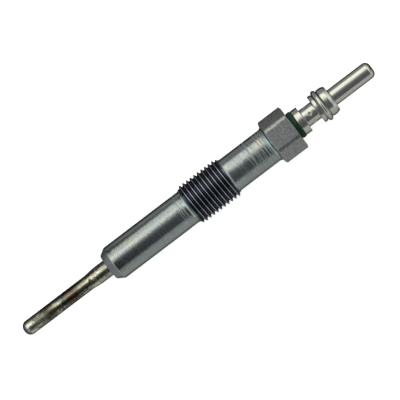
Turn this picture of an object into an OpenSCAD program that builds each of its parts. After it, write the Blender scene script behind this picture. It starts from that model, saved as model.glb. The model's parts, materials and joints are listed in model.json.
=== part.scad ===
// Diesel glow plug with a metal-sheath heater, lying on its side.
// The plug's axis is the X axis, with the terminal toward +X and a hexagon flat at the bottom.
// X = 0 is the end face of the shell, where the heater tube comes out of the sealing cone.

/* [Shell] */
// Diameter of the end face inside the sealing cone
nose_d = 6.3; // [5.6:0.1:7]
// Full angle of the sealing cone
seat_angle = 63; // [50:1:90]
// Diameter of the lower body
body_d = 8.3; // [7.8:0.1:8.8]
// Length from the end face to the thread
body_len = 22.3; // [19:0.1:26]
// Outer diameter of the thread
thread_d = 10; // [9.4:0.1:11]
// Length of the thread, with its run-outs
thread_len = 11.6; // [9:0.1:14]
// Length of each thread run-out
thread_runout = 0.7; // [0.4:0.1:1.5]
// Diameter of the shank between the thread and the hexagon
shank_d = 8.35; // [7.8:0.05:8.9]
// Length of the shank
shank_len = 11.5; // [10:0.1:14]
// Hexagon, across flats
hex_af = 10; // [9.6:0.1:10.6]
// Hexagon, across its turned corners
hex_corner_d = 11.1; // [10.8:0.1:11.4]
// Length of the hexagon
hex_len = 6.2; // [5:0.1:8]
// Depth of the turned chamfers on the hexagon's ends
hex_chamfer = 0.2; // [0.1:0.05:0.5]
// Fillet under the hexagon
hex_fillet = 0.8; // [0.3:0.1:0.8]
// Length of the bore that grips the heater tube
press_len = 16; // [12:0.5:18]
// Diameter of the bore round the centre rod
bore_d = 4.4; // [4.2:0.1:5]
// Diameter of the counterbore for the seal and the washer
counterbore_d = 5.2; // [5:0.1:5.6]
// Depth of the counterbore
counterbore_depth = 3.5; // [2.8:0.1:4.5]

/* [Heater tube] */
// Outer diameter of the tube in the shell
tube_d = 4; // [3.8:0.05:4.1]
// Outer diameter of the swaged heating zone
zone_d = 3.5; // [3.3:0.05:3.7]
// Wall thickness
tube_wall = 0.5; // [0.45:0.05:0.55]
// Length of tube outside the shell
tube_out = 23.65; // [22:0.05:28]
// Length of tube inside the shell
tube_in = 20; // [18:0.5:22]
// Length of full-diameter tube below the shell
swage_from = 3.2; // [1:0.1:5]
// Length of the swaged shoulder
swage_len = 2.4; // [1:0.1:4]
// Edge radius of the closed tip
tip_round = 1.5; // [0.8:0.1:1.5]
// Thickness of the welded tip
tip_wall = 1.4; // [1.1:0.1:1.8]

/* [Coils] */
// Wire diameter
wire_d = 0.36; // [0.3:0.02:0.4]
// Mean diameter of both coils
coil_d = 1.6; // [1.5:0.02:1.68]
// Pitch of the turns
coil_pitch = 0.9; // [0.75:0.05:0.95]
// Turns of the heating coil
heating_turns = 8; // [6:1:10]
// Turns of the control coil
control_turns = 18; // [15:1:20]
// Turns of the control coil that grip the centre rod
grip_turns = 2.5; // [1.5:0.5:4]

/* [Centre rod] */
// Diameter above the heater tube
rod_d = 3; // [2.8:0.1:3.2]
// Diameter inside the heater tube
rod_tube_d = 2; // [1.9:0.05:2.2]
// Length of the elastic seal in the tube
seal_len = 2.5; // [1.5:0.1:4]
// Depth of the groove that takes the crimp
groove_depth = 0.25; // [0.2:0.05:0.35]
// Length of that groove
groove_len = 2; // [1.8:0.1:2.4]

/* [Insulating washer] */
// Outer diameter of the flange
washer_d = 6.7; // [6.2:0.1:7.5]
// Thickness of the flange
washer_t = 1.2; // [1:0.1:1.6]
// Edge radius of the flange
washer_round = 0.4; // [0.2:0.05:0.45]

/* [Terminal] */
// Diameter of the foot flange
foot_d = 6.4; // [6:0.1:7]
// Thickness of the foot flange
foot_t = 1.6; // [1:0.1:2]
// Diameter of the crimped neck
neck_d = 4.4; // [4.2:0.1:4.8]
// Length of the neck
neck_len = 3.3; // [3:0.1:4]
// Diameter of the collar round the rib
collar_d = 6.95; // [6.4:0.05:7.2]
// Length of collar below the rib
collar_low = 0.85; // [0.6:0.05:1.2]
// Diameter of the rounded rib
rib_d = 7.85; // [7.6:0.05:8.2]
// Width of the rib
rib_w = 1.3; // [1.1:0.1:1.6]
// Depth of the groove on each side of the rib
rib_groove = 0.2; // [0.1:0.05:0.3]
// Length of straight collar above the rib
collar_high = 1.2; // [0.8:0.1:1.6]
// Length of the collar's taper
collar_taper = 1; // [0.6:0.1:1.4]
// Collar diameter at the end of the taper
taper_d = 6.2; // [5.6:0.1:6.4]
// Diameter of the push-on pin
pin_d = 4; // [3.8:0.1:4.2]
// Length of the pin above the collar
pin_len = 11; // [9:0.1:13]
// Edge radius of the pin's end
pin_round = 1.3; // [0.8:0.1:1.6]
// Depth of the blind bore over the rod
socket_depth = 7.5; // [6.8:0.1:9]
// Number of crimp dents
dents = 6; // [4:1:8]
// Width of a crimp dent at the surface, across its corners
dent_w = 1.25; // [1:0.05:1.5]
// Depth of a crimp dent
dent_depth = 0.2; // [0.15:0.05:0.3]

/* [Fits] */
// Clearance of press, crimp and sliding fits
fit_gap = 0.02; // [0.01:0.005:0.04]

/* [Hidden] */
$fn = 96;
eps = 0.01;

thread_x = body_len;
shank_x = thread_x + thread_len;
hex_x = shank_x + shank_len;
hex_top = hex_x + hex_len;
seat_x = (body_d - nose_d) / 2 / tan(seat_angle / 2);
fillet_r = min(hex_fillet, (hex_af - shank_d) / 2);
counterbore_x = hex_top - counterbore_depth;

tip_x = -tube_out;
tip_floor = tip_x + tip_wall;
tube_r = tube_d / 2 - tube_wall;
zone_r = zone_d / 2 - tube_wall;
swage_x = -swage_from;
zone_x = swage_x - swage_len;

wire_r = wire_d / 2;
coil_r = coil_d / 2;
coil_step = 30;
wire_sides = 6;
lead_turns = 1;
lead_len = coil_pitch;
lead_x = tip_floor + fit_gap;
coil_x = lead_x + lead_len;
join_x = coil_x + heating_turns * coil_pitch;
coil_top = join_x + control_turns * coil_pitch;
join_angle = (lead_turns + heating_turns) * 360;
top_angle = join_angle + control_turns * 360;

spigot_r = (coil_r - wire_r) * cos(coil_step / 2) - fit_gap;
spigot_x = coil_top - grip_turns * coil_pitch;
rod_x = coil_top + wire_d;
seal_x = tube_in - seal_len;
step_x = tube_in + fit_gap;

washer_x = hex_top;
foot_x = washer_x + washer_t;
neck_x = foot_x + foot_t;
collar_x = neck_x + neck_len;
rib_x = collar_x + collar_low;
high_x = rib_x + rib_w;
taper_x = high_x + collar_high;
pin_x = taper_x + collar_taper;
end_x = pin_x + pin_len;
socket_r = rod_d / 2 + fit_gap;
rod_top = foot_x + socket_depth - fit_gap;
rod_chamfer = 0.3;
groove_x = neck_x + neck_len / 2 - groove_len / 2;
bump_r = rod_d / 2 - groove_depth + fit_gap;
ring_r = (counterbore_d - rod_d) / 4 - fit_gap;
ring_mid_r = (counterbore_d + rod_d) / 4;
ring_x = counterbore_x + ring_r + fit_gap;
spigot_end_x = ring_x + ring_r + fit_gap;

// A turned shape, drawn as [radius, X] and laid along the X axis.
module turned() {
    rotate([0, 90, 0])
        rotate_extrude()
            children();
}

// A strip of a profile, from the axis to a radius, between two stations.
module strip(r, from, to) {
    translate([0, from])
        square([r, to - from]);
}

// A cone-shaped stretch of a profile.
module taper(r_from, r_to, from, to) {
    polygon([[0, from], [r_from, from], [r_to, to], [0, to]]);
}

// Outline of the closed tube: straight, swaged shoulder, heating zone and rounded tip.
module tube_profile(r_up, r_zone, top, tip, edge) {
    strip(r_up, swage_x, top);
    taper(r_zone, r_up, zone_x, swage_x);
    strip(r_zone, tip + edge, zone_x);
    strip(r_zone - edge, tip, tip + edge + eps);
    intersection() {
        translate([r_zone - edge, tip + edge])
            circle(r = edge);
        strip(r_zone + edge, tip, tip + edge + eps);
    }
}

// Wire path: the lead comes off the tip on the axis and opens into the helix.
function ease(u) = u * u * (3 - 2 * u);
function lead_part(a) = min(1, a / (lead_turns * 360));
function path_r(a) = coil_r * ease(lead_part(a));
function path_x(a) = a < lead_turns * 360
    ? lead_x + lead_len * lead_part(a)
    : coil_x + (a - lead_turns * 360) / 360 * coil_pitch;
function path(a) = [path_x(a), path_r(a) * cos(a), path_r(a) * sin(a)];

function unit(v) = v / norm(v);
function tangent(a) = unit(path(a + 1) - path(max(0, a - 1)));
function outward(a) = let (t = tangent(a), e = [0, cos(a), sin(a)]) unit(e - (e * t) * t);
function section(a, r) = let (n = outward(a), b = cross(tangent(a), n))
    [for (k = [0 : wire_sides - 1])
        path(a) + r * (cos(k * 360 / wire_sides) * n + sin(k * 360 / wire_sides) * b)];

// Round wire swept along the path between two angles.
module wire(from, to, r) {
    steps = round((to - from) / coil_step);
    points = [for (i = [0 : steps]) each section(from + (to - from) * i / steps, r)];
    sides = [for (i = [0 : steps - 1], k = [0 : wire_sides - 1])
        let (m = (k + 1) % wire_sides, lo = i * wire_sides, hi = lo + wire_sides)
        each [[lo + k, hi + k, lo + m], [lo + m, hi + k, hi + m]]];
    start = [for (k = [0 : wire_sides - 1]) k];
    end = [for (k = [wire_sides - 1 : -1 : 0]) steps * wire_sides + k];
    polyhedron(points, concat(sides, [start, end]), convexity = 10);
}

module shell_profile() {
    difference() {
        union() {
            taper(nose_d / 2, body_d / 2, 0, seat_x);
            strip(body_d / 2, seat_x, thread_x + eps);
            taper(body_d / 2, thread_d / 2, thread_x, thread_x + thread_runout);
            strip(thread_d / 2, thread_x + thread_runout, shank_x - thread_runout);
            taper(thread_d / 2, shank_d / 2, shank_x - thread_runout, shank_x);
            strip(shank_d / 2, shank_x - eps, hex_top);
            strip(shank_d / 2 + fillet_r, hex_x - fillet_r, hex_x + eps);
        }
        translate([shank_d / 2 + fillet_r, hex_x - fillet_r])
            circle(r = fillet_r);
        strip(tube_d / 2 + fit_gap, -eps, press_len);
        strip(bore_d / 2, press_len - eps, counterbore_x + eps);
        strip(counterbore_d / 2, counterbore_x, hex_top + eps);
    }
}

// Hexagon cut from a round turned to the corner diameter, chamfered at both ends.
module hexagon() {
    difference() {
        intersection() {
            translate([hex_x, 0, 0])
                rotate([0, 90, 0])
                    rotate([0, 0, 30])
                        cylinder(d = hex_af / cos(30), h = hex_len, $fn = 6);
            turned() {
                taper(hex_af / 2, hex_corner_d / 2, hex_x, hex_x + hex_chamfer);
                strip(hex_corner_d / 2, hex_x + hex_chamfer, hex_top - hex_chamfer);
                taper(hex_corner_d / 2, hex_af / 2, hex_top - hex_chamfer, hex_top);
            }
        }
        turned()
            strip(shank_d / 2 - eps, hex_x - eps, hex_top + eps);
    }
}

module shell() {
    color("LightSteelBlue") {
        turned()
            shell_profile();
        hexagon();
    }
}

module glow_tube() {
    color("RosyBrown")
        turned()
            difference() {
                tube_profile(tube_d / 2, zone_d / 2, tube_in, tip_x, tip_round);
                tube_profile(tube_r, zone_r, tube_in + eps, tip_floor, min(tip_round, zone_r) / 2);
            }
}

module heating_coil() {
    color("DimGray")
        wire(0, join_angle, wire_r);
}

module control_coil() {
    color("SlateGray")
        wire(join_angle, top_angle, wire_r);
}

// Powder packed round the coils, the spigot and the thin end of the rod.
module magnesia_fill() {
    color("Snow")
        difference() {
            turned()
                difference() {
                    tube_profile(tube_r - fit_gap, zone_r - fit_gap, seal_x - fit_gap, coil_x - wire_d, zone_r / 3);
                    strip(spigot_r + fit_gap, spigot_x - fit_gap, rod_x);
                    strip(rod_tube_d / 2 + fit_gap, rod_x - fit_gap, seal_x);
                }
            wire(0, top_angle + coil_step, wire_r + fit_gap);
        }
}

module tube_seal() {
    color("DarkRed")
        turned()
            difference() {
                strip(tube_r - fit_gap, seal_x, tube_in);
                strip(rod_tube_d / 2 + fit_gap, seal_x - eps, tube_in + eps);
            }
}

module centre_rod() {
    color("Silver")
        turned()
            difference() {
                union() {
                    strip(spigot_r, spigot_x, rod_x + eps);
                    strip(rod_tube_d / 2, rod_x, step_x + eps);
                    strip(rod_d / 2, step_x, rod_top - rod_chamfer);
                    taper(rod_d / 2, rod_d / 2 - rod_chamfer, rod_top - rod_chamfer, rod_top);
                }
                translate([rod_d / 2 - groove_depth, groove_x])
                    square([rod_d, groove_len]);
            }
}

module o_ring() {
    color("Black")
        turned()
            translate([ring_mid_r, ring_x])
                circle(r = ring_r);
}

module insulating_washer() {
    edge_r = washer_d / 2 - washer_round;
    color("DarkGreen")
        turned()
            difference() {
                union() {
                    strip(counterbore_d / 2 - fit_gap, spigot_end_x, washer_x + eps);
                    strip(edge_r, washer_x, foot_x);
                    strip(washer_d / 2, washer_x + washer_round, foot_x - washer_round);
                    translate([edge_r, washer_x + washer_round])
                        circle(r = washer_round);
                    translate([edge_r, foot_x - washer_round])
                        circle(r = washer_round);
                }
                strip(rod_d / 2 + fit_gap, spigot_end_x - eps, foot_x + eps);
            }
}

module terminal_profile() {
    pin_edge_r = pin_d / 2 - pin_round;
    rib_edge = rib_w / 2;
    difference() {
        union() {
            strip(foot_d / 2, foot_x, neck_x);
            strip(neck_d / 2, neck_x - eps, collar_x + eps);
            strip(collar_d / 2, collar_x, taper_x);
            strip(rib_d / 2 - rib_edge, rib_x, high_x);
            translate([rib_d / 2 - rib_edge, rib_x + rib_edge])
                circle(r = rib_edge);
            taper(collar_d / 2, taper_d / 2, taper_x, pin_x);
            strip(pin_d / 2, pin_x - eps, end_x - pin_round);
            strip(pin_edge_r, end_x - pin_round - eps, end_x);
            intersection() {
                translate([pin_edge_r, end_x - pin_round])
                    circle(r = pin_round);
                strip(pin_d, end_x - pin_round - eps, end_x);
            }
        }
        for (x = [rib_x, high_x])
            translate([collar_d / 2, x])
                circle(r = rib_groove);
        strip(socket_r, foot_x - eps, foot_x + socket_depth);
        taper(socket_r, 0, foot_x + socket_depth - eps, foot_x + socket_depth + socket_r / 2);
    }
}

// Diamond-shaped crimp dents in the neck, each with the bump it leaves in the rod's groove.
module terminal_pin() {
    mid_x = groove_x + groove_len / 2;
    color("Gainsboro") {
        difference() {
            turned()
                terminal_profile();
            for (i = [0 : dents - 1])
                translate([mid_x, 0, 0])
                    rotate([i * 360 / dents, 0, 0])
                        translate([0, 0, neck_d / 2 - dent_depth])
                            cylinder(d1 = dent_w / 2, d2 = dent_w * 1.5, h = dent_depth * 2, $fn = 4);
        }
        for (i = [0 : dents - 1])
            translate([mid_x, 0, 0])
                rotate([i * 360 / dents, 0, 0])
                    translate([0, 0, bump_r])
                        cylinder(d = dent_w / 2, h = socket_r - bump_r + eps * 10);
    }
}

shell();
glow_tube();
heating_coil();
control_coil();
magnesia_fill();
tube_seal();
centre_rod();
o_ring();
insulating_washer();
terminal_pin();
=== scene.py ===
import json
import math
import bmesh
import bpy
from mathutils import Matrix, Vector

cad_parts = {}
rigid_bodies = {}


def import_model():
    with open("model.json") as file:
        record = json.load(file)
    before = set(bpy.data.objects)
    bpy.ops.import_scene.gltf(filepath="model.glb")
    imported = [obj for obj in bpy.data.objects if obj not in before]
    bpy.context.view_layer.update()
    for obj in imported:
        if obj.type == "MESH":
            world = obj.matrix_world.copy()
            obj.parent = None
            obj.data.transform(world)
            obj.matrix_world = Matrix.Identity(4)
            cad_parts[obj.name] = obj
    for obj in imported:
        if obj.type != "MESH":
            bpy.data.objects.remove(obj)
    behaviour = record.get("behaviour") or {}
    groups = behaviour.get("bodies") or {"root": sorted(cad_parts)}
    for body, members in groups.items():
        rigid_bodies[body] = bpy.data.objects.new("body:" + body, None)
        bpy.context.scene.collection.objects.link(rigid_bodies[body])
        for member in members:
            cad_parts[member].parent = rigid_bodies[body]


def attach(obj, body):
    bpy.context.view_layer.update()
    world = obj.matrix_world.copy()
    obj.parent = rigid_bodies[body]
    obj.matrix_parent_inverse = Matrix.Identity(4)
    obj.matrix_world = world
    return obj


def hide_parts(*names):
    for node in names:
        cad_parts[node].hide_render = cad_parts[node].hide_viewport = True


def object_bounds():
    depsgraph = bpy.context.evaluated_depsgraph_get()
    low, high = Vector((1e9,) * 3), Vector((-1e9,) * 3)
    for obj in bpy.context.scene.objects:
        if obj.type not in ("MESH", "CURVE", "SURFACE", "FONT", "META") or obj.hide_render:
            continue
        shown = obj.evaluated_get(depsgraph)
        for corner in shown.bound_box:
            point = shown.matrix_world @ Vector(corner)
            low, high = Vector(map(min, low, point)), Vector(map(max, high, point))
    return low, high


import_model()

mm = 0.001
um = 0.000001
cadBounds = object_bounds()
cadLow, cadHigh = cadBounds
print("frame loaded")

weldDist = 2e-7  # m, points closer than this are joined
sliverDist = 1e-7
pinchDist = 1e-8
axisR = 1e-6  # mm, a smaller ring is one point
edgeShare = 0.48  # most of a straight that one rounded corner takes up


def tidyMesh(bm, name, node, sharpAngle=50):
    bmesh.ops.remove_doubles(bm, verts=bm.verts, dist=weldDist)
    bmesh.ops.dissolve_degenerate(bm, edges=bm.edges, dist=sliverDist)
    bmesh.ops.recalc_face_normals(bm, faces=bm.faces)
    for f in bm.faces:
        f.smooth = True
    for e in bm.edges:
        if len(e.link_faces) == 2 and e.calc_face_angle(0) > math.radians(sharpAngle):
            e.smooth = False
    mesh = bpy.data.meshes.new(name)
    bm.to_mesh(mesh)
    bm.free()
    obj = bpy.data.objects.new(name, mesh)
    bpy.context.scene.collection.objects.link(obj)
    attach(obj, "root")
    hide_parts(node)
    return obj


def bezier(start, bend, end, steps):
    shares = [k / steps for k in range(steps + 1)]
    curve = [start * (1 - s) ** 2 + bend * 2 * s * (1 - s) + end * s ** 2 for s in shares]
    return [(q.x, q.y) for q in curve]


def arc(x, r, radius, start, end, steps):
    angles = [math.radians(start + (end - start) * k / steps) for k in range(steps + 1)]
    return [(x + radius * math.cos(a), r + radius * math.sin(a)) for a in angles]


def rounded(points, steps=5):
    out = []
    for i, (x, r, radius) in enumerate(points):
        if radius <= 0 or i in (0, len(points) - 1):
            out.append((x, r))
            continue
        p = Vector((x, r))
        a = Vector(points[i - 1][:2]) - p
        b = Vector(points[i + 1][:2]) - p
        t = min(radius / math.tan(a.angle(b) / 2), edgeShare * a.length, edgeShare * b.length)
        out += bezier(p + a.normalized() * t, p, p + b.normalized() * t, steps)
    return out


def subdivided(profile, longest):
    out = [profile[0]]
    for (x0, r0), (x1, r1) in zip(profile, profile[1:]):
        n = max(1, math.ceil(math.hypot(x1 - x0, r1 - r0) / longest))
        out += [(x0 + (x1 - x0) * k / n, r0 + (r1 - r0) * k / n) for k in range(1, n + 1)]
    return out


def onAxis(x, r, phi):
    return Vector((x, r * math.cos(phi), r * math.sin(phi))) * mm


def lathe(bm, profile, columns, shape=None):
    rings = []
    for x, r in profile:
        if r < axisR:
            rings.append([bm.verts.new(onAxis(x, 0, 0))])
            continue
        ring = []
        for k in range(columns):
            phi = 2 * math.pi * k / columns
            ring.append(bm.verts.new(onAxis(x, shape(x, r, phi) if shape else r, phi)))
        rings.append(ring)
    for a, b in zip(rings, rings[1:]):
        joinRings(bm, a, b)
    return rings


def joinRings(bm, a, b):
    n = max(len(a), len(b))
    for k in range(n):
        m = (k + 1) % n
        corner = [a[k % len(a)], a[m % len(a)], b[m % len(b)], b[k % len(b)]]
        corner = [v for i, v in enumerate(corner) if v not in corner[:i]]
        if len(corner) > 2:
            bm.faces.new(corner)


# shell: turned body with a cut thread and a milled hexagon, in mm
shellDims = {
    "columns": 216, "longestRow": 1.5,
    "noseR": 3.15, "noseRound": 0.2, "seatX": 1.632, "bodyR": 4.15,
    "facetX": (-0.06, 0.11), "facetDrop": 0.045, "facetRound": (0.06, 0.03),  # broken edge above the seat
    "reliefX": 20.1, "reliefR": 4.125, "reliefStep": 0.06, "reliefRound": 0.02,
    "boreR": 2.2, "gripR": 2.02, "gripX": 16.0, "gripRound": 0.05,
    "counterR": 2.6, "counterX": 48.1, "counterRound": 0.08,
    "threadX": 21.95, "threadR": 5.0, "pitch": 1.0, "crestX": 23.35, "spareTurns": 2, "crown": 0.02,
    "depth": 0.6134, "crestHalf": 0.0625, "flank": 0.354, "crownHalf": 0.065,  # in pitches
    # shadeDepth is the groove depth at which the painted shade in the thread roots is full
    "runout": 0.55, "flare": 0.55, "flareRise": 0.14, "flareCurve": 1.4, "shadeDepth": 0.6, "wearDepth": 0.06,
    "shankX": 34.1, "shankR": 4.175, "shankRow": 2.0,
    "fillet": 0.8, "filletLead": 0.2, "filletFoot": 0.32, "filletR": 4.295, "filletCurve": 1.3,
    "filletSteps": 8, "bend": (-0.06, 0.065), "bendSteps": 10,
    "hexX": 45.4, "hexTop": 51.6, "apothem": -cadLow[2] / mm,
    "cornerR": 5.548, "cornerSoft": 0.035, "chamfer": 0.2,
    "edge": 0.05, "edgeX": 0.02, "edgeSlope": 3.4, "edgeRows": (0, 0.01, 0.036, 0.046),
    "faceX": (0.24, 0.05), "faceRows": (0, 0.012, 0.03, 0.5, 0.97, 0.988, 1),
    "topX": 0.02, "topDrop": 0.012, "topEdge": 0.03,
}
# rows of the thread from a crest to the root, in pitches
halfPitch = (0, 0.02, 0.045, 0.065, 0.09, 0.15, 0.22, 0.29, 0.36, 0.41, 0.44, 0.47)
pitchRows = [-u for u in halfPitch[:0:-1]] + list(halfPitch) + [0.5]


def threadRadius(u, d):
    u = abs((u + 0.5) % 1.0 - 0.5)  # pitches from the nearest crest
    crown = d["crown"] * min(u / d["crownHalf"], 1) ** 2  # soft edge on the crest
    flank = min(max((u - d["crestHalf"]) / d["flank"], 0), 1)
    return d["threadR"] - crown - (d["depth"] * d["pitch"] - d["crown"]) * flank


def threadEnvelope(x, d):
    def rise(along, low):
        foot = low + d["flareRise"] * min(max(along / d["flare"], 0), 1) ** d["flareCurve"]
        return foot + max(0, along - d["flare"]) / d["runout"] * (d["threadR"] - low - d["flareRise"])
    return min(rise(x - d["threadX"], d["reliefR"]), rise(d["shankX"] - x, d["shankR"]), d["threadR"])


def hexRadius(phi, d):
    half = math.radians(30)
    off = (phi + half) % (2 * half) - half  # from the nearest corner
    flat = d["apothem"] / math.cos(half - abs(off))
    soft = d["cornerSoft"]
    h = max(soft - abs(flat - d["cornerR"]), 0) / soft
    return min(flat, d["cornerR"]) - h * h * soft / 4


def turnBody(bm, d):
    facetLow, facetHigh = (d["seatX"] + off for off in d["facetX"])
    line = rounded([
        (d["counterX"], d["counterR"], 0),
        (d["counterX"], d["boreR"], 0),
        (d["gripX"], d["boreR"], 0),
        (d["gripX"], d["gripR"], 0),
        (0, d["gripR"], d["gripRound"]),
        (0, d["noseR"], d["noseRound"]),
        (facetLow, d["bodyR"] - d["facetDrop"], d["facetRound"][0]),
        (facetHigh, d["bodyR"], d["facetRound"][1]),
        (d["reliefX"], d["bodyR"], d["reliefRound"]),
        (d["reliefX"] + d["reliefStep"], d["reliefR"], d["reliefRound"]),
        (d["threadX"], d["reliefR"], 0),
    ])
    lathe(bm, subdivided(line, d["longestRow"]), d["columns"])


def cutThread(bm, d, groove, wear):
    n, per = d["columns"], len(pitchRows)
    rows = per * (math.ceil((d["shankX"] - d["threadX"]) / d["pitch"]) + d["spareTurns"])
    firstX = d["crestX"] - d["spareTurns"] * d["pitch"]
    grid = []
    for j in range(rows + 1):
        u = j // per + pitchRows[j % per]
        line = []
        for k in range(n):
            x = min(max(firstX + d["pitch"] * (u + k / n), d["threadX"]), d["shankX"])
            limit = threadEnvelope(x, d)
            r = min(threadRadius(u, d), limit)
            v = bm.verts.new(onAxis(x, r, 2 * math.pi * k / n))
            # groove: depth below the thread's outline, drives the painted shade in the thread roots
            v[groove] = min(1, max(0, (limit - r) / d["shadeDepth"]))
            v[wear] = max(0, 1 - (d["threadR"] - r) / d["wearDepth"])
            line.append(v)
        grid.append(line)
    for j in range(rows):
        for k in range(n):
            if k < n - 1:
                quad = [grid[j][k], grid[j + 1][k], grid[j + 1][k + 1], grid[j][k + 1]]
            elif j + 1 + per <= rows:  # the last column meets the first one, a pitch further on
                quad = [grid[j][k], grid[j + 1][k], grid[j + 1 + per][0], grid[j + per][0]]
            else:
                continue
            if max((quad[0].co - quad[1].co).length, (quad[2].co - quad[3].co).length) > pinchDist:
                bm.faces.new(quad)


def shankLine(d):
    hx, r = d["hexX"], d["shankR"]
    line = subdivided([(d["shankX"], r), (hx - d["fillet"] - d["filletLead"], r)], d["shankRow"])
    for k in range(d["filletSteps"]):
        s = k / d["filletSteps"]
        x = hx - d["fillet"] + (d["fillet"] - d["filletFoot"]) * s
        line.append((x, r + (d["filletR"] - r) * s ** d["filletCurve"]))
    foot = Vector((hx - d["filletFoot"], d["filletR"]))
    bend = Vector((hx + d["bend"][0], d["filletR"] + d["bend"][1]))
    return line + bezier(foot, bend, Vector((hx, d["apothem"] - d["edge"])), d["bendSteps"])


def millHexagon(bm, d):
    n, hx, top = d["columns"], d["hexX"], d["hexTop"]
    corner = [hexRadius(2 * math.pi * k / n, d) for k in range(n)]
    rate = d["chamfer"] / (d["cornerR"] - d["apothem"])
    reach = [(r - d["apothem"]) * rate for r in corner]  # how far the chamfer runs along each column
    rows = [([hx + d["edgeX"] + w + d["edgeSlope"] * s for w in reach], [r - d["edge"] + s for r in corner])
            for s in d["edgeRows"]]
    low, high = d["faceX"]
    length = top - hx - low - high
    rows += [([hx + low + w + s * (length - 2 * w) for w in reach], corner) for s in d["faceRows"]]
    rows.append(([top - d["topX"] - w for w in reach], [r - d["topDrop"] for r in corner]))
    last = lathe(bm, shankLine(d), n)[-1]
    for xs, rs in rows:
        ring = [bm.verts.new(onAxis(xs[k], rs[k], 2 * math.pi * k / n)) for k in range(n)]
        joinRings(bm, last, ring)
        last = ring
    face = rounded([(top, d["apothem"] - d["topEdge"], 0), (top, d["counterR"], d["counterRound"]),
                    (d["counterX"], d["counterR"], 0)])
    joinRings(bm, last, lathe(bm, face, n)[0])


def buildShell(d):
    bm = bmesh.new()
    groove = bm.verts.layers.float.new("groove")
    wear = bm.verts.layers.float.new("wear")
    turnBody(bm, d)
    cutThread(bm, d, groove, wear)
    millHexagon(bm, d)
    return tidyMesh(bm, "shellSkin", "shell")


shellSkin = buildShell(shellDims)
print("shell", len(shellSkin.data.polygons))

# heater tube: drawn alloy tube, swaged down and closed at the tip
tubeDims = {
    "columns": 160, "longestRow": 1.0, "steps": 10,
    "r": 2.0, "zoneR": 1.75, "tip": cadLow[0] / mm, "tipRound": 1.5, "tipSteps": 12, "tipLead": 0.05,
    "swageX": -3.2, "zoneX": -5.6, "swageRound": 4.0, "top": 20.0, "rimRound": 0.1,
    "wall": 0.5, "tipWall": 1.4, "boreRound": 1.0, "boreTipRound": 0.5,
}


def buildTube(d):
    bm = bmesh.new()
    zone, tip, e = d["zoneR"], d["tip"], d["tipRound"]
    bore, zoneBore, boreTip = d["r"] - d["wall"], zone - d["wall"], tip + d["tipWall"]
    line = [(tip, 0), (tip, (zone - e) / 2)] + arc(tip + e, zone - e, e, 180, 90, d["tipSteps"])
    line += rounded([
        (tip + e + d["tipLead"], zone, 0),
        (d["zoneX"], zone, d["swageRound"]),
        (d["swageX"], d["r"], d["swageRound"]),
        (d["top"], d["r"], d["rimRound"]),
        (d["top"], bore, d["rimRound"]),
        (d["swageX"], bore, d["boreRound"]),
        (d["zoneX"], zoneBore, d["boreRound"]),
        (boreTip, zoneBore, d["boreTipRound"]),
        (boreTip, 0, 0),
    ], d["steps"])
    lathe(bm, subdivided(line, d["longestRow"]), d["columns"])
    return tidyMesh(bm, "tubeSkin", "glow_tube")


tubeSkin = buildTube(tubeDims)
print("tube", len(tubeSkin.data.polygons))

# insulating washer: moulded bush with a rounded flange
washerDims = {
    "columns": 160, "longestRow": 0.6, "steps": 8,
    "x": shellDims["hexTop"], "t": 1.2, "r": 3.35, "round": 0.4,
    "spigotR": 2.58, "spigotX": 49.2, "spigotRound": 0.1, "boreR": 1.52, "boreRound": 0.05,
}


def buildWasher(d):
    bm = bmesh.new()
    end = d["x"] + d["t"]
    line = rounded([
        (d["spigotX"], d["boreR"], 0),
        (d["spigotX"], d["spigotR"], d["spigotRound"]),
        (d["x"], d["spigotR"], 0),
        (d["x"], d["r"], d["round"]),
        (end, d["r"], d["round"]),
        (end, d["boreR"], d["boreRound"]),
        (d["spigotX"], d["boreR"], 0),
    ], d["steps"])
    lathe(bm, subdivided(line, d["longestRow"]), d["columns"])
    return tidyMesh(bm, "washerSkin", "insulating_washer")


washerSkin = buildWasher(washerDims)
print("washer", len(washerSkin.data.polygons))

# terminal: turned pin with a snap rib and a crimped neck
terminalDims = {
    "columns": 240, "longestRow": 0.5, "sharpAngle": 40,
    "footX": washerDims["x"] + washerDims["t"], "footR": 3.2, "footRound": (0.1, 0.08),
    "neckX": 54.4, "neckR": 2.2, "neckRound": 0.2, "neckSlack": 0.01,
    "collarX": 57.7, "collarR": 3.475, "collarRound": 0.1,
    "ribX": 58.68, "ribW": 1.2, "ribR": 3.925, "ribArc": (190, -10), "ribSteps": 12,
    "grooveR": 0.2, "grooveRound": 0.06, "grooveSteps": 4,
    "taperX": 61.05, "taperR": 3.1, "taperCurve": 1.6, "taperSteps": 9, "taperRound": 0.12,
    "pinX": 62.05, "pinR": 2.0, "pinFoot": 0.15, "pinRound": 1.3, "pinSteps": 12, "pinLead": 0.05,
    "end": cadHigh[0] / mm, "socketR": washerDims["boreR"], "socketEnd": 60.3, "socketRound": 0.06,
    "dents": 6, "dentW": 1.25, "dentDepth": 0.2, "dentWall": 0.5, "dentRow": 0.07, "dentRows": 10,
    "lip": 0.015, "lipAt": 1.12, "lipHalf": 0.2,
}


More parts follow.
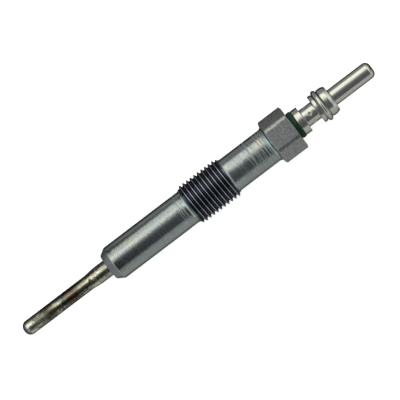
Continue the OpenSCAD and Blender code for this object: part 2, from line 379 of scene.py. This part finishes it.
def terminalLine(d, dentX):
    ribEdge, high, g, e = d["ribW"] / 2, d["ribX"] + d["ribW"], d["grooveR"], d["pinRound"]
    dentRows = [(dentX + d["dentRow"] * k, d["neckR"], 0) for k in range(-d["dentRows"], d["dentRows"] + 1)]
    line = rounded([
        (d["socketEnd"] + d["socketR"] / 2, 0, 0),
        (d["socketEnd"], d["socketR"], 0),
        (d["footX"], d["socketR"], d["socketRound"]),
        (d["footX"], d["footR"], d["footRound"][0]),
        (d["neckX"], d["footR"], d["footRound"][1]),
        (d["neckX"], d["neckR"], d["neckRound"]),
        *dentRows,
        (d["collarX"], d["neckR"], d["neckRound"]),
        (d["collarX"], d["collarR"], d["collarRound"]),
        (d["ribX"] - g, d["collarR"], d["grooveRound"]),
    ])
    line += arc(d["ribX"], d["collarR"], g, 180, 270, d["grooveSteps"])
    line += arc(d["ribX"] + ribEdge, d["ribR"] - ribEdge, ribEdge, *d["ribArc"], d["ribSteps"])
    line += arc(high, d["collarR"], g, 270, 360, d["grooveSteps"])
    taper = []
    for k in range(d["taperSteps"]):
        s = k / d["taperSteps"]
        drop = (d["collarR"] - d["taperR"]) * s ** d["taperCurve"]
        taper.append((d["taperX"] + (d["pinX"] - d["taperX"]) * s, d["collarR"] - drop, 0))
    line += rounded([
        *taper,
        (d["pinX"], d["taperR"], d["taperRound"]),
        (d["pinX"], d["pinR"], d["pinFoot"]),
        (d["end"] - e - d["pinLead"], d["pinR"], 0),
    ])
    line += arc(d["end"] - e, d["pinR"] - e, e, 90, 0, d["pinSteps"])
    return line + [(d["end"], (d["pinR"] - e) / 2), (d["end"], 0)]


def buildTerminal(d):
    bm = bmesh.new()
    dentX = (d["neckX"] + d["collarX"]) / 2

    def dented(x, r, phi):
        if not d["neckX"] < x < d["collarX"] or abs(r - d["neckR"]) > d["neckSlack"]:
            return r
        step = 2 * math.pi / d["dents"]
        off = (phi - math.pi / 2 + step / 2) % step - step / 2
        away = (abs(x - dentX) + abs(off) * r) / (d["dentW"] / 2)  # 1 on the edge of the diamond
        wall = min(max((1 - away) / d["dentWall"], 0), 1)
        lip = d["lip"] * max(0, 1 - abs(away - d["lipAt"]) / d["lipHalf"])
        return r - d["dentDepth"] * wall * wall * (3 - 2 * wall) + lip

    lathe(bm, subdivided(terminalLine(d, dentX), d["longestRow"]), d["columns"], dented)
    return tidyMesh(bm, "terminalSkin", "terminal_pin", d["sharpAngle"])


terminalSkin = buildTerminal(terminalDims)
print("terminal", len(terminalSkin.data.polygons))


# node helpers
def feed(tree, socket, value):
    if isinstance(value, bpy.types.NodeSocket):
        tree.links.new(value, socket)
    else:
        socket.default_value = value


def add(tree, kind, settings=None, **values):
    node = tree.nodes.new(kind)
    for key, value in (settings or {}).items():
        setattr(node, key, value)
    for key, value in values.items():
        numbered = key[0] == "i" and key[1:].isdigit()  # i0 is the first input
        feed(tree, node.inputs[int(key[1:]) if numbered else key], value)
    return node


def placeInMm(tree, stretch=(1, 1, 1)):
    coords = add(tree, "ShaderNodeTexCoord").outputs["Object"]
    scale = tuple(s / mm for s in stretch)
    return add(tree, "ShaderNodeVectorMath", {"operation": "MULTIPLY"}, i0=coords, i1=scale).outputs[0]


def axesInMm(tree):
    return add(tree, "ShaderNodeSeparateXYZ", None, i0=placeInMm(tree)).outputs


def distanceFrom(tree, spot):
    node = add(tree, "ShaderNodeVectorMath", {"operation": "DISTANCE"}, i0=placeInMm(tree), i1=spot)
    return node.outputs["Value"]


def noise(tree, place, **values):
    return add(tree, "ShaderNodeTexNoise", None, Vector=place, **values).outputs[0]


def math2(tree, op, a, b):
    return add(tree, "ShaderNodeMath", {"operation": op}, i0=a, i1=b).outputs[0]


def times(tree, a, b):
    return math2(tree, "MULTIPLY", a, b)


def plus(tree, a, b):
    return math2(tree, "ADD", a, b)


def remap(tree, value, lo, hi, toLo=0.0, toHi=1.0):
    return add(tree, "ShaderNodeMapRange", None, i0=value, i1=lo, i2=hi, i3=toLo, i4=toHi).outputs[0]


def mixColor(tree, share, a, b):
    node = add(tree, "ShaderNodeMix", {"data_type": "RGBA"}, i0=share)
    for socket, value in ((node.inputs[6], a), (node.inputs[7], b)):
        feed(tree, socket, (*value, 1) if isinstance(value, tuple) else value)
    return node.outputs[2]


def rampOver(tree, value, stops, easing="LINEAR"):
    first, last = stops[0][0], stops[-1][0]
    ramp = add(tree, "ShaderNodeValToRGB", None, i0=remap(tree, value, first, last))
    ramp.color_ramp.interpolation = easing
    items = ramp.color_ramp.elements
    items.remove(items[1])
    for at, shade in stops:
        item = items[0] if at == first else items.new((at - first) / (last - first))
        item.color = (*shade, 1) if isinstance(shade, tuple) else (shade, shade, shade, 1)
    return ramp.outputs[0]


def nodeGroup(name, inputs, outputs):
    tree = bpy.data.node_groups.new(name, "ShaderNodeTree")
    for label, value in inputs.items():
        socket = tree.interface.new_socket(label, in_out="INPUT", socket_type="NodeSocketFloat")
        socket.default_value = value
    for label in outputs:
        tree.interface.new_socket(label, in_out="OUTPUT", socket_type="NodeSocketFloat")
    return tree, tree.nodes.new("NodeGroupInput").outputs, tree.nodes.new("NodeGroupOutput").inputs


def useGroup(tree, group, **values):
    return add(tree, "ShaderNodeGroup", {"node_tree": group}, **values).outputs


# rings left by the lathe tool, stretch is per mm
marksLook = {"fine": (11, 0.05, 0.05), "broad": (2.3, 0.05, 0.05), "bands": (0.48, 0.55), "base": 0.12}


def turningMarks(look):
    tree, i, o = nodeGroup("turningMarks", {"Coarse": 0.5}, ("Height", "Bands"))
    fine = noise(tree, placeInMm(tree, look["fine"]), Scale=1.0, Detail=2.0)
    broad = noise(tree, placeInMm(tree, look["broad"]), Scale=1.0, Detail=3.0, Roughness=0.6)
    bands = times(tree, remap(tree, broad, *look["bands"]), i["Coarse"])
    feed(tree, o["Height"], times(tree, fine, plus(tree, bands, look["base"])))
    feed(tree, o["Bands"], bands)
    return tree


# uneven finish at several sizes
patchLook = {
    "stain": (0.55, 0.3, 0.3), "wave": (1, 1.5, 1.5), "grainSize": 9.0, "mottleSize": 2.4,
    "broadSpan": (0.35, 0.65), "stainSpan": (0.5, 0.72), "mottleSpan": (0.32, 0.68),
}


def patches(look):
    tree, i, o = nodeGroup("patches", {"Size": 1.0}, ("Broad", "Stain", "Grain", "Wave", "Mottle"))
    place = placeInMm(tree)
    broad = noise(tree, place, Scale=i["Size"], Detail=3.0)
    stain = noise(tree, placeInMm(tree, look["stain"]), Scale=1.0, Detail=4.0, Distortion=0.6)
    mottle = noise(tree, place, Scale=look["mottleSize"], Detail=2.0, Roughness=0.6)
    feed(tree, o["Broad"], remap(tree, broad, *look["broadSpan"]))
    feed(tree, o["Stain"], remap(tree, stain, *look["stainSpan"]))
    feed(tree, o["Grain"], noise(tree, place, Scale=look["grainSize"], Detail=5.0, Roughness=0.7))
    feed(tree, o["Wave"], noise(tree, placeInMm(tree, look["wave"]), Scale=1.0, Detail=3.0))
    feed(tree, o["Mottle"], remap(tree, mottle, *look["mottleSpan"]))
    return tree


# fine scratches along the plug, and specks
scuffLook = {
    "along": (0.5, 5, 5), "alongSpan": (0.64, 0.72),
    "specks": (4, 4, 4), "speckSpan": (0.68, 0.76),
}


def scuffs(look):
    tree, i, o = nodeGroup("scuffs", {"Amount": 0.5}, ("Mask",))
    along = noise(tree, placeInMm(tree, look["along"]), Scale=1.0, Detail=4.0, Roughness=0.7)
    along = remap(tree, along, *look["alongSpan"])
    specks = noise(tree, placeInMm(tree, look["specks"]), Scale=1.0, Detail=3.0)
    specks = remap(tree, specks, *look["speckSpan"])
    feed(tree, o["Mask"], times(tree, math2(tree, "MAXIMUM", along, specks), i["Amount"]))
    return tree


marksGroup, patchGroup, scuffGroup = turningMarks(marksLook), patches(patchLook), scuffs(scuffLook)


def newMaterial(name, metallic):
    mat = bpy.data.materials.new(name)
    mat.use_nodes = True
    bsdf = mat.node_tree.nodes["Principled BSDF"]
    bsdf.inputs["Metallic"].default_value = metallic
    return mat, mat.node_tree, bsdf


def finishMaterial(tree, bsdf, color, rough, height, depthUm):
    feed(tree, bsdf.inputs["Base Color"], color)
    feed(tree, bsdf.inputs["Roughness"], rough)
    bump = add(tree, "ShaderNodeBump", None, Strength=1.0, Distance=depthUm * um, Height=height)
    feed(tree, bsdf.inputs["Normal"], bump.outputs[0])


# plated steel of the shell, places in mm
plateLook = {
    "plain": (0.47, 0.525, 0.49), "cool": (0.43, 0.51, 0.505), "patchSize": 0.45,
    "warm": (0.56, 0.55, 0.47), "stained": 0.7,
    "cloudy": (0.38, 0.425, 0.415), "clouds": (0.5, 0.9, 0.0, 0.8),
    "blush": (0.60, 0.53, 0.38), "blushAt": (43.0, 1.9, 3.7), "blushFade": (0.3, 1.3, 0.6, 0.0),
    # the dark colour is real dirt in the scuffs and painted shade in the thread roots
    "dirtAndShade": (0.017, 0.028, 0.066), "scuffs": 0.6, "scuffDirt": 0.45, "grooveShade": (0.04, 0.35, 0.0, 0.9),
    "worn": (0.76, 0.77, 0.84), "crestWear": 0.8,
    "milled": (0.55, 0.568, 0.548), "dented": (0.26, 0.27, 0.26), "milledX": (45.42, 45.47),
    "milledShare": 0.9, "milledRough": 0.2,
    "seat": (0.46, 0.46, 0.455), "seatX": (1.55, 1.75), "seatMottle": (0.4, 1.0), "seatRough": 0.34,
    "rough": (0.07, 0.52), "grainRough": 0.1,
    "grainHeight": 0.12, "waveHeight": 1.2, "mottleHeight": 0.4, "depthUm": 12,
    "coarse": [(0, 0.12), (19.9, 0.12), (20.2, 0.8), (21.7, 0.8), (22.0, 0.1), (34.2, 0.15), (36.0, 0.3),
               (38.0, 0.7), (42.0, 1.0), (44.4, 1.0), (45.2, 0.1), (52.0, 0.1)],  # marks along the shell
}


def plateMaterial(look):
    mat, tree, bsdf = newMaterial("platedSteel", 1.0)
    x = axesInMm(tree)[0]
    marks = useGroup(tree, marksGroup, Coarse=rampOver(tree, x, look["coarse"]))
    patch = useGroup(tree, patchGroup, Size=look["patchSize"])
    scuff = useGroup(tree, scuffGroup, Amount=look["scuffs"])
    color = mixColor(tree, patch["Broad"], look["cool"], look["plain"])
    color = mixColor(tree, times(tree, patch["Stain"], look["stained"]), color, look["warm"])
    color = mixColor(tree, remap(tree, patch["Mottle"], *look["clouds"]), color, look["cloudy"])
    near = remap(tree, distanceFrom(tree, look["blushAt"]), *look["blushFade"])
    color = mixColor(tree, times(tree, near, patch["Mottle"]), color, look["blush"])
    color = mixColor(tree, times(tree, scuff["Mask"], look["scuffDirt"]), color, look["dirtAndShade"])

    milled = remap(tree, x, *look["milledX"])
    faces = mixColor(tree, patch["Mottle"], look["dented"], look["milled"])
    color = mixColor(tree, times(tree, milled, look["milledShare"]), color, faces)
    seat = remap(tree, x, *look["seatX"], 1.0, 0.0)
    bare = times(tree, seat, remap(tree, patch["Mottle"], 0.0, 1.0, *look["seatMottle"]))
    color = mixColor(tree, bare, color, look["seat"])
    groove = add(tree, "ShaderNodeAttribute", {"attribute_name": "groove"}).outputs["Fac"]
    wear = add(tree, "ShaderNodeAttribute", {"attribute_name": "wear"}).outputs["Fac"]
    # painted shade in the thread roots, darker where the groove is deeper
    color = mixColor(tree, remap(tree, groove, *look["grooveShade"]), color, look["dirtAndShade"])
    color = mixColor(tree, times(tree, wear, look["crestWear"]), color, look["worn"])

    rough = remap(tree, marks["Bands"], 0, 1, *look["rough"])
    for mask, amount in ((patch["Grain"], "grainRough"), (milled, "milledRough"), (seat, "seatRough")):
        rough = plus(tree, rough, times(tree, mask, look[amount]))
    height = marks["Height"]
    for key, amount in (("Grain", "grainHeight"), ("Wave", "waveHeight"), ("Mottle", "mottleHeight")):
        height = plus(tree, height, times(tree, patch[key], look[amount]))
    finishMaterial(tree, bsdf, color, rough, height, look["depthUm"])
    return mat


# heat-tinted alloy of the tube
tubeLook = {
    "stations": [  # mm from the shell, tint, roughness
        (-23.7, (0.26, 0.26, 0.22), 0.50), (-23.1, (0.34, 0.34, 0.29), 0.45),
        (-22.8, (0.60, 0.60, 0.52), 0.30), (-22.3, (0.86, 0.86, 0.76), 0.17),
        (-20.8, (0.86, 0.86, 0.75), 0.18), (-19.9, (0.40, 0.40, 0.32), 0.34),
        (-18.4, (0.32, 0.32, 0.25), 0.40), (-17.3, (0.14, 0.137, 0.088), 0.34),
        (-16.0, (0.18, 0.17, 0.12), 0.26), (-15.2, (0.30, 0.28, 0.20), 0.18),
        (-14.6, (0.68, 0.66, 0.49), 0.10), (-13.6, (0.48, 0.47, 0.39), 0.08),
        (-13.0, (0.28, 0.29, 0.31), 0.07), (-12.4, (0.34, 0.355, 0.385), 0.07),
        (-11.9, (0.26, 0.22, 0.18), 0.07), (-10.8, (0.265, 0.21, 0.14), 0.08),
        (-9.2, (0.275, 0.23, 0.165), 0.08), (-8.3, (0.43, 0.41, 0.33), 0.08),
        (-7.2, (0.54, 0.52, 0.42), 0.08), (-5.6, (0.70, 0.70, 0.55), 0.07),
        (-4.2, (0.95, 0.96, 0.79), 0.07), (-2.5, (0.60, 0.61, 0.50), 0.07),
        (0.0, (0.46, 0.47, 0.40), 0.07),
    ],
    "drift": {"Broad": (0, 1, -0.7, 0.7), "Wave": (0.3, 0.7, -0.8, 0.8), "Mottle": (0, 1, -0.5, 0.5)},
    # the dark colour is real soot in blotches, scuffs and the scar, and painted shade on the tube's -Y side
    "coarse": 0.45, "patchSize": 0.7, "scuffs": 0.8, "scuffSoot": 0.7, "sootAndShade": (0.03, 0.028, 0.016),
    "scarAt": (-5.0, 0.2, 1.8), "scarFade": (0.2, 0.5, 1.0, 0.0), "scarGrain": (0.36, 0.46),
    # where the painted shade lies: x from -15.6 to -5 mm, on the -Y side, mottled like the soot blotches
    "shadeFrom": (-15.6, -14.4), "shadeTo": (-5.0, -5.8), "shadeY": (-0.1, -1.0, 0.0, 0.9),
    "sootWave": (0.45, 0.62, 0.0, 0.6), "sootShadeMottle": (0.2, 0.8),
    "grainRough": (0.3, 0.7, -0.04, 0.08), "grainHeight": 0.4, "waveHeight": 4.0, "depthUm": 7,
}


def tubeMaterial(look):
    mat, tree, bsdf = newMaterial("tintedAlloy", 1.0)
    marks = useGroup(tree, marksGroup, Coarse=look["coarse"])
    patch = useGroup(tree, patchGroup, Size=look["patchSize"])
    scuff = useGroup(tree, scuffGroup, Amount=look["scuffs"])
    spot = axesInMm(tree)
    along = spot[0]
    for key, span in look["drift"].items():  # ragged edges between the tints
        along = plus(tree, along, remap(tree, patch[key], *span))
    color = rampOver(tree, along, [(at, tint) for at, tint, dull in look["stations"]], "EASE")
    dull = rampOver(tree, along, [(at, dull) for at, tint, dull in look["stations"]])
    # painted shade on the -Y side of the tube's middle, joined with the real soot blotches
    shadedSide = times(tree, remap(tree, spot[0], *look["shadeFrom"]), remap(tree, spot[0], *look["shadeTo"]))
    shadedSide = times(tree, shadedSide, remap(tree, spot[1], *look["shadeY"]))
    blotchesAndShade = math2(tree, "MAXIMUM", remap(tree, patch["Wave"], *look["sootWave"]), shadedSide)
    scar = remap(tree, distanceFrom(tree, look["scarAt"]), *look["scarFade"])
    masks = [
        times(tree, remap(tree, patch["Mottle"], *look["sootShadeMottle"]), blotchesAndShade),
        times(tree, scuff["Mask"], look["scuffSoot"]),
        times(tree, scar, remap(tree, patch["Grain"], *look["scarGrain"])),
    ]
    for mask in masks:
        color = mixColor(tree, mask, color, look["sootAndShade"])
    rough = plus(tree, dull, remap(tree, patch["Grain"], *look["grainRough"]))
    height = plus(tree, marks["Height"], times(tree, patch["Grain"], look["grainHeight"]))
    height = plus(tree, height, times(tree, patch["Wave"], look["waveHeight"]))
    finishMaterial(tree, bsdf, color, rough, height, look["depthUm"])
    return mat


# dark green moulding of the washer
washerLook = {
    "deep": (0.005, 0.042, 0.018), "plain": (0.014, 0.084, 0.037), "rubbed": (0.03, 0.11, 0.06),
    "patchSize": 1.2, "scuffs": 0.3, "rubbedShare": 0.4, "specular": 0.3,
    "rough": (0.38, 0.6), "depthUm": 8,
}


def washerMaterial(look):
    mat, tree, bsdf = newMaterial("greenMoulding", 0.0)
    bsdf.inputs["Specular IOR Level"].default_value = look["specular"]
    patch = useGroup(tree, patchGroup, Size=look["patchSize"])
    scuff = useGroup(tree, scuffGroup, Amount=look["scuffs"])
    color = mixColor(tree, patch["Broad"], look["deep"], look["plain"])
    color = mixColor(tree, times(tree, scuff["Mask"], look["rubbedShare"]), color, look["rubbed"])
    rough = remap(tree, patch["Grain"], 0, 1, *look["rough"])
    finishMaterial(tree, bsdf, color, rough, patch["Grain"], look["depthUm"])
    return mat


# bright nickel of the terminal
nickelLook = {
    "plain": (0.74, 0.75, 0.635), "cool": (0.71, 0.74, 0.66), "patchSize": 0.9, "coarse": 0.5,
    "dull": (0.45, 0.45, 0.37), "dulled": (0.6, 1.0, 0.0, 0.35),
    # the dark colour is real dirt in the scuffs and painted shade in the turned corners
    "dirtAndShade": (0.09, 0.09, 0.07), "scuffs": 0.6, "scuffDirt": 0.6,
    "creaseShades": [(54.45, 0.12, 0.5), (57.72, 0.14, 0.7), (58.58, 0.15, 0.7), (59.98, 0.16, 0.9),
                (62.15, 0.18, 0.8)],  # painted shade in the turned corners: x, half width, amount
    "creaseCore": 1 / 3, "creaseShadeSide": (-1.2, 0.8, 0.25, 1.0),
    "rough": (0.04, 0.13), "grainRough": 0.06, "waveHeight": 1.0, "mottleHeight": 0.4, "depthUm": 6,
}


def nickelMaterial(look):
    mat, tree, bsdf = newMaterial("brightNickel", 1.0)
    marks = useGroup(tree, marksGroup, Coarse=look["coarse"])
    patch = useGroup(tree, patchGroup, Size=look["patchSize"])
    scuff = useGroup(tree, scuffGroup, Amount=look["scuffs"])
    color = mixColor(tree, patch["Broad"], look["cool"], look["plain"])
    color = mixColor(tree, remap(tree, patch["Mottle"], *look["dulled"]), color, look["dull"])
    color = mixColor(tree, times(tree, scuff["Mask"], look["scuffDirt"]), color, look["dirtAndShade"])
    spot = axesInMm(tree)
    # painted shade in the turned corners, full on the +Y side and a quarter as strong towards -Y
    side = remap(tree, spot[1], *look["creaseShadeSide"])
    for at, half, amount in look["creaseShades"]:
        off = add(tree, "ShaderNodeMath", {"operation": "ABSOLUTE"}, i0=plus(tree, spot[0], -at)).outputs[0]
        dirtAndShade = times(tree, remap(tree, off, half * look["creaseCore"], half, amount, 0.0), side)
        color = mixColor(tree, dirtAndShade, color, look["dirtAndShade"])
    rough = remap(tree, marks["Bands"], 0, 1, *look["rough"])
    rough = plus(tree, rough, times(tree, patch["Grain"], look["grainRough"]))
    height = plus(tree, marks["Height"], times(tree, patch["Wave"], look["waveHeight"]))
    height = plus(tree, height, times(tree, patch["Mottle"], look["mottleHeight"]))
    finishMaterial(tree, bsdf, color, rough, height, look["depthUm"])
    return mat


# pieces inside, seen only when the plug is opened: name, two colours, metallic, roughness
innerLooks = {
    "heating_coil": ("heatingWire", (0.20, 0.19, 0.18), (0.34, 0.33, 0.32), 1.0, 0.45),
    "control_coil": ("controlWire", (0.32, 0.32, 0.33), (0.50, 0.50, 0.51), 1.0, 0.35),
    "magnesia_fill": ("magnesiaPowder", (0.74, 0.72, 0.66), (0.88, 0.87, 0.82), 0.0, 0.85),
    "tube_seal": ("sealRubber", (0.14, 0.03, 0.02), (0.24, 0.06, 0.04), 0.0, 0.6),
    "centre_rod": ("rodSteel", (0.48, 0.48, 0.48), (0.62, 0.62, 0.61), 1.0, 0.3),
    "o_ring": ("ringRubber", (0.012, 0.012, 0.012), (0.03, 0.03, 0.03), 0.0, 0.55),
}
innerFinish = {"patchSize": 1.5, "roughSpread": 0.1, "depthUm": 5}


def innerMaterial(d, name, low, high, metallic, rough):
    mat, tree, bsdf = newMaterial(name, metallic)
    grain = useGroup(tree, patchGroup, Size=d["patchSize"])["Grain"]
    uneven = remap(tree, grain, 0, 1, rough - d["roughSpread"], rough + d["roughSpread"])
    finishMaterial(tree, bsdf, mixColor(tree, grain, low, high), uneven, grain, d["depthUm"])
    return mat


def setMaterial(obj, mat):
    obj.data.materials.clear()
    obj.data.materials.append(mat)


setMaterial(shellSkin, plateMaterial(plateLook))
setMaterial(tubeSkin, tubeMaterial(tubeLook))
setMaterial(washerSkin, washerMaterial(washerLook))
setMaterial(terminalSkin, nickelMaterial(nickelLook))
for obj in list(bpy.context.scene.objects):
    node = obj.name.split(".")[0]
    if obj.type == "MESH" and node in innerLooks:
        setMaterial(obj, innerMaterial(innerFinish, *innerLooks[node]))
print("materials set")

# table top, white to the camera and grey in reflections, greys by mm across the plug
stageDims = {
    "half": 1.2, "z": cadLow[2], "paper": (0.8, 0.8, 0.8, 1), "glow": 0.84,
    "greys": [(-160, 0.41), (-15, 0.40), (-11, 0.27), (-8, 0.12), (3, 0.05), (12.5, 0.055), (16, 0.23),
              (32, 0.29), (60, 0.27), (90, 0.26), (160, 0.16)],
    "tipGreys": [(-160, 0.42), (-30, 0.40), (-12, 0.37), (-8, 0.16), (3, 0.015), (12, 0.015), (19, 0.03),
                 (32, 0.04), (60, 0.04), (160, 0.04)],
    "tipX": (3.0, -9.0),
}


def buildFloor(d):
    bm = bmesh.new()
    s = d["half"]
    bm.faces.new([bm.verts.new((x, y, d["z"])) for x, y in ((-s, -s), (s, -s), (s, s), (-s, s))])
    mesh = bpy.data.meshes.new("tableTop")
    bm.to_mesh(mesh)
    bm.free()
    obj = bpy.data.objects.new("tableTop", mesh)
    bpy.context.scene.collection.objects.link(obj)
    mat = bpy.data.materials.new("tablePaper")
    mat.use_nodes = True
    tree = mat.node_tree
    tree.nodes.clear()
    path = add(tree, "ShaderNodeLightPath").outputs
    spot = axesInMm(tree)
    greys, tipGreys = (rampOver(tree, spot[1], d[key]) for key in ("greys", "tipGreys"))
    grey = mixColor(tree, remap(tree, spot[0], *d["tipX"]), greys, tipGreys)
    paper = add(tree, "ShaderNodeBsdfDiffuse", None, Color=d["paper"]).outputs[0]
    glow = add(tree, "ShaderNodeEmission", None, Color=(1, 1, 1, 1), Strength=d["glow"]).outputs[0]
    seen = add(tree, "ShaderNodeAddShader", None, i0=paper, i1=glow).outputs[0]
    mirrored = add(tree, "ShaderNodeEmission", None, Color=grey, Strength=1.0).outputs[0]
    plain = add(tree, "ShaderNodeMixShader", None, i0=path["Is Camera Ray"], i1=paper, i2=seen).outputs[0]
    both = add(tree, "ShaderNodeMixShader", None, i0=path["Is Glossy Ray"], i1=plain, i2=mirrored)
    feed(tree, add(tree, "ShaderNodeOutputMaterial").inputs[0], both.outputs[0])
    setMaterial(obj, mat)


buildFloor(stageDims)

# studio surround: brightness by degrees from straight up, round the plug's length, for three parts of it
surround = {
    "tip": [(-180, 0.30), (-75, 0.30), (-64, 0.24), (-56, 0.08), (-48, 0.015), (-20, 0.015), (-10, 0.04),
            (-3, 0.12), (3, 0.30), (9, 0.62), (16, 1.05), (24, 1.40), (32, 1.40), (40, 1.0), (48, 0.78),
            (56, 0.66), (63, 0.5), (69, 0.10), (76, 0.03), (180, 0.03)],
    "nose": [(-180, 0.40), (-62, 0.40), (-58, 0.35), (-53, 0.14), (-48, 0.09), (-30, 0.088), (-18, 0.11),
             (-9, 0.145), (-3, 0.18), (3, 0.27), (9, 0.44), (15, 0.83), (22, 1.20), (29, 1.38), (36, 1.18),
             (44, 0.88), (50, 0.76), (58, 0.73), (68, 0.75), (72, 0.63), (75, 0.18), (80, 0.16), (86, 0.2),
             (90, 0.24), (180, 0.13)],
    "terminal": [(-180, 0.46), (-75, 0.46), (-66, 0.36), (-58, 0.155), (-50, 0.10), (-20, 0.115),
                 (-9, 0.13), (4, 0.19), (12, 0.32), (20, 0.58), (30, 1.00), (38, 1.18), (45, 1.23),
                 (59, 1.22), (68, 1.07), (72, 0.70), (78, 0.28), (90, 0.30), (180, 0.22)],
    "tipX": (-0.107, -0.1), "terminalX": (-0.085, -0.03), "light": (1.04, 1.0, 0.96),
    "dark": {"tip": (1.0, 0.98, 0.66), "nose": (0.97, 1.0, 1.25), "terminal": (0.97, 1.0, 1.14)},
    "ends": [(-1.0, 0.10), (-0.92, 0.27), (-0.72, (0.33, 0.33, 0.34)), (-0.66, (0.5, 0.53, 0.56)),
             (-0.6, (0.80, 0.87, 0.93)), (-0.42, (0.80, 0.87, 0.93)), (0.42, (0.66, 0.72, 0.76)),
             (0.5, (0.66, 0.70, 0.72)), (0.62, (0.86, 0.87, 0.84)), (0.8, (0.60, 0.60, 0.58)),
             (0.9, (0.30, 0.30, 0.29)), (1.0, 0.06)],  # beyond the two ends, by the direction's x
    "endGain": [(-180, 0.85), (-82, 0.85), (-55, 0.68), (-28, 0.68), (-3, 1.0), (21, 1.3), (48, 1.1),
                (76, 0.62), (180, 0.6)],
    "endShare": [(-1.0, 1.0), (-0.42, 1.0), (-0.34, 0.0), (0.36, 0.0), (0.5, 1.0), (1.0, 1.0)],
}


def tinted(brightness, dark, light):
    return tuple(brightness * (lo + (hi - lo) * min(brightness, 1)) for lo, hi in zip(dark, light))


def buildWorld(d):
    world = bpy.data.worlds.new("studio")
    world.use_nodes = True
    tree = world.node_tree
    tree.nodes.clear()
    direction = add(tree, "ShaderNodeTexCoord").outputs["Generated"]
    x, y, z = add(tree, "ShaderNodeSeparateXYZ", None, i0=direction).outputs
    angle = times(tree, math2(tree, "ARCTAN2", y, z), math.degrees(1))
    tip, nose, terminal = (
        rampOver(tree, angle, [(at, tinted(v, dark, d["light"])) for at, v in d[key]])
        for key, dark in d["dark"].items())
    color = mixColor(tree, remap(tree, x, *d["tipX"]), tip, nose)
    color = mixColor(tree, remap(tree, x, *d["terminalX"]), color, terminal)
    gain = rampOver(tree, angle, d["endGain"])
    ends = rampOver(tree, x, d["ends"])
    ends = add(tree, "ShaderNodeVectorMath", {"operation": "MULTIPLY"}, i0=ends, i1=gain).outputs[0]
    color = mixColor(tree, rampOver(tree, x, d["endShare"]), color, ends)
    back = add(tree, "ShaderNodeBackground", None, Color=color, Strength=1.0)
    feed(tree, add(tree, "ShaderNodeOutputWorld").inputs[0], back.outputs[0])
    bpy.context.scene.world = world


buildWorld(surround)

# camera at the photo's view, lens from its focal length in pixels
cameraDims = {
    "tiltX": 3.02, "tiltY": 3.0, "roll": 37.23, "distance": 0.5, "target": (0.02519, -0.00036, 0.0),
    "focalPx": 2255.9, "photoPx": 400, "sensor": 36.0, "clip": (0.01, 10),
}


def buildCamera(d):
    a, b, roll = (math.radians(d[k]) for k in ("tiltX", "tiltY", "roll"))
    toCamera = Vector((math.sin(a), -math.sin(b) * math.cos(a), math.cos(b) * math.cos(a)))
    along = Vector((1, 0, 0))
    along = (along - along.dot(toCamera) * toCamera).normalized()
    across = toCamera.cross(along)
    right = along * math.cos(roll) - across * math.sin(roll)
    up = along * math.sin(roll) + across * math.cos(roll)
    cam = bpy.data.cameras.new("photoCamera")
    cam.sensor_width = d["sensor"]
    cam.lens = d["focalPx"] * d["sensor"] / d["photoPx"]
    cam.clip_start, cam.clip_end = d["clip"]
    obj = bpy.data.objects.new("photoCamera", cam)
    spot = Vector(d["target"]) + toCamera * d["distance"]
    obj.matrix_world = Matrix.Translation(spot) @ Matrix((right, up, toCamera)).transposed().to_4x4()
    bpy.context.scene.collection.objects.link(obj)
    bpy.context.scene.camera = obj


buildCamera(cameraDims)
bpy.context.scene.view_settings.view_transform = "Standard"
print("stage set")
